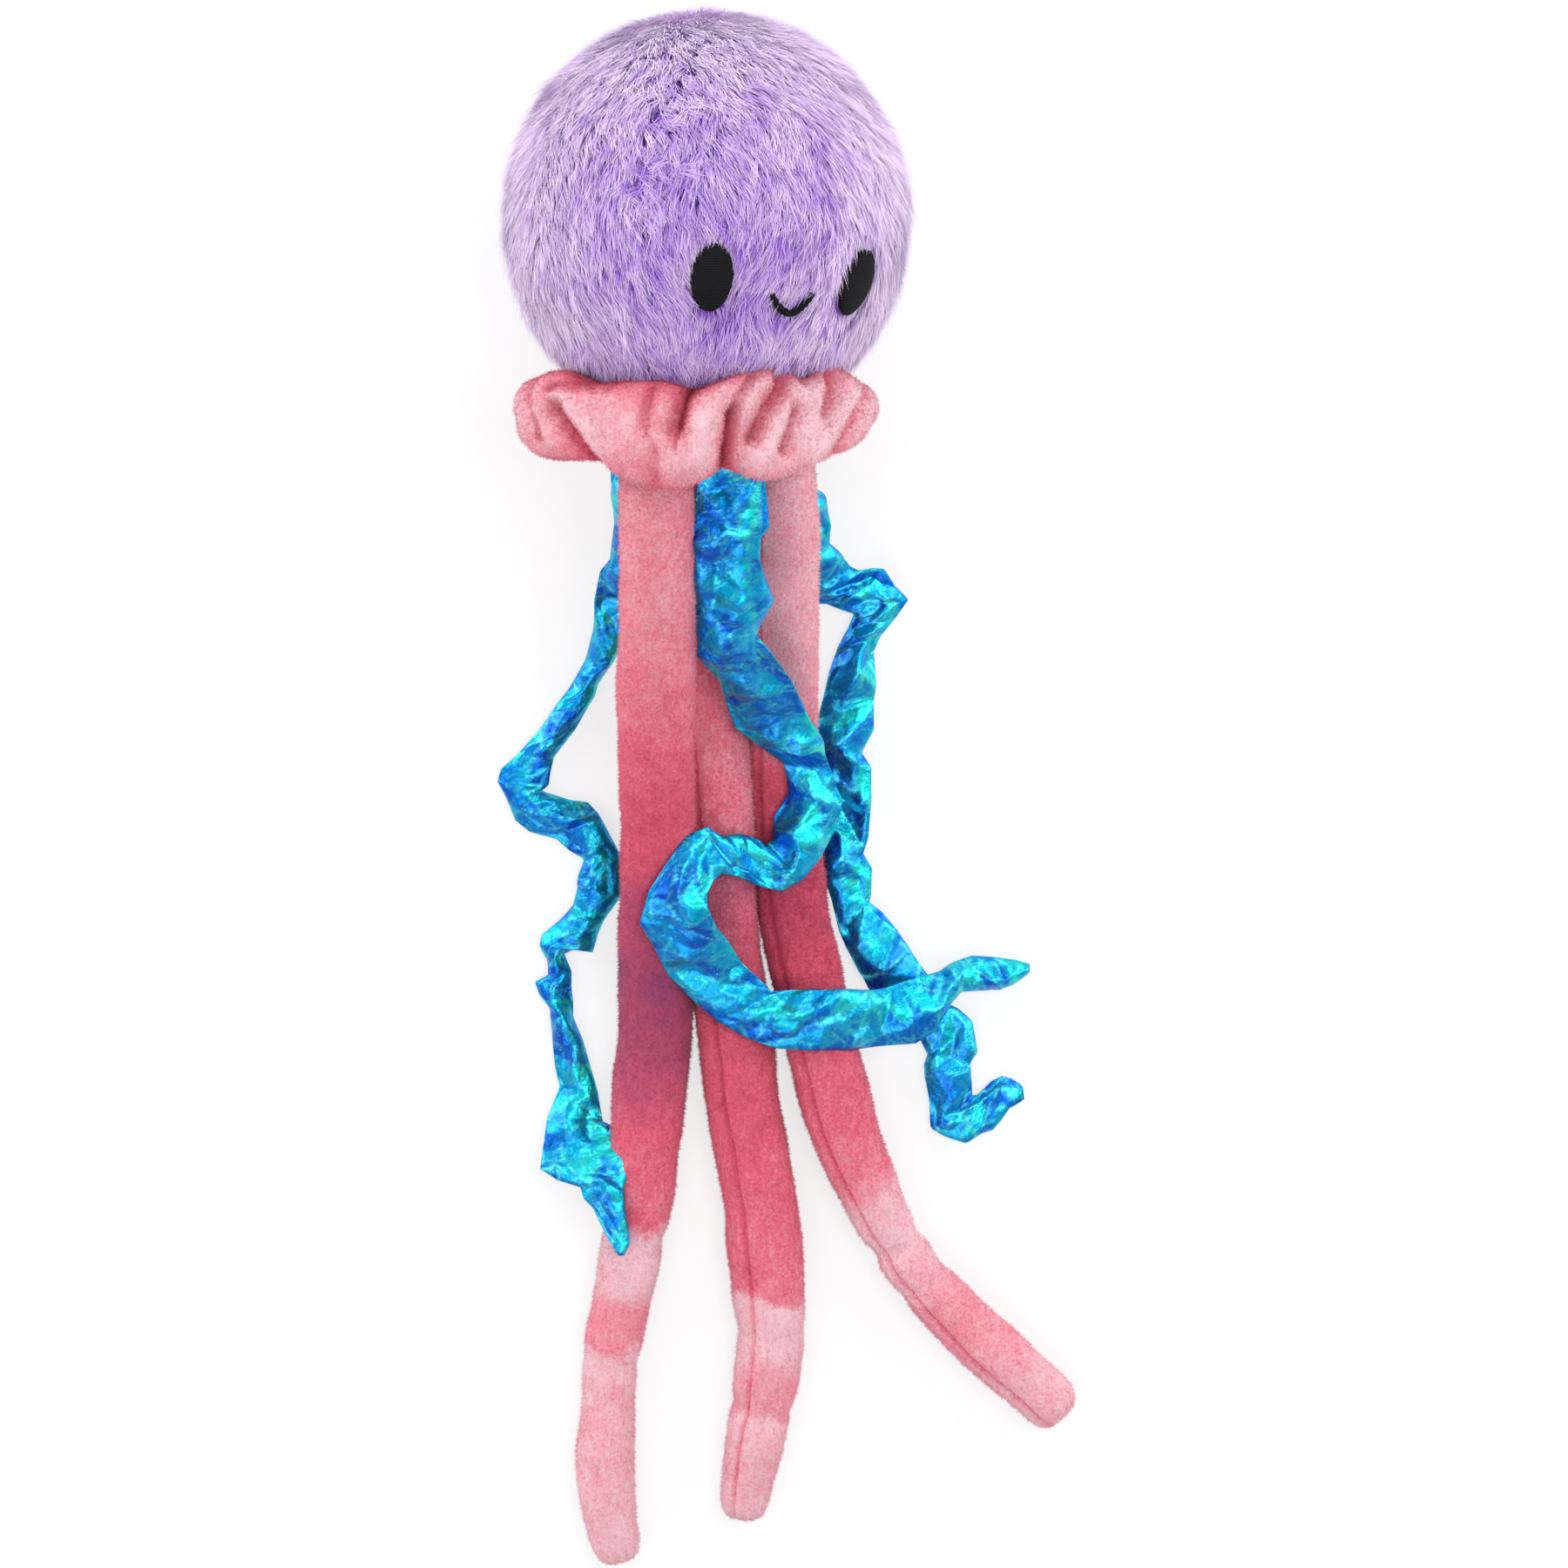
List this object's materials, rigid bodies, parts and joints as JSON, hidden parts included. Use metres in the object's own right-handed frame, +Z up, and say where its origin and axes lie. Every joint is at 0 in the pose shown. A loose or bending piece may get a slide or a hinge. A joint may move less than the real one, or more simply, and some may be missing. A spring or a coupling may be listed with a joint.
{
  "type": "plush jellyfish dog toy",
  "caption": "Soft jellyfish toy with a round long-pile head, a gathered velour ruffle, long stuffed velour legs and crinkled shiny sleeves, lying on its back.",
  "frame": {"origin": "the point on the floor under the middle of the head, on the head's small flat spot, with the toy lying on its back", "axes": "+Y along the toy from the legs to the crown of the head, +Z up from the floor, +X to the toy's right in the picture"},
  "size_m": [0.1909, 0.5287, 0.1309],
  "materials": {
    "lavender_pile": "long soft pile",
    "rose_velour": "short velour nap",
    "blue_film": "crinkled iridescent film",
    "black_thread": "satin stitch",
    "white_wadding": "loose fibre",
    "white_plastic": "soft moulded"
  },
  "bodies": {
    "root": {"head_cover": "lavender_pile", "head_wadding": "white_wadding", "wadding_plug": "white_wadding", "squeaker": "white_plastic", "eye_left": "black_thread", "eye_right": "black_thread", "mouth": "black_thread", "neck_patch": "rose_velour", "ruffle": "rose_velour", "leg_front_left": "rose_velour", "leg_back": "rose_velour", "leg_right": "rose_velour", "sleeve_centre": "blue_film", "sleeve_left": "blue_film", "sleeve_right": "blue_film"}
  },
  "joints": []
}
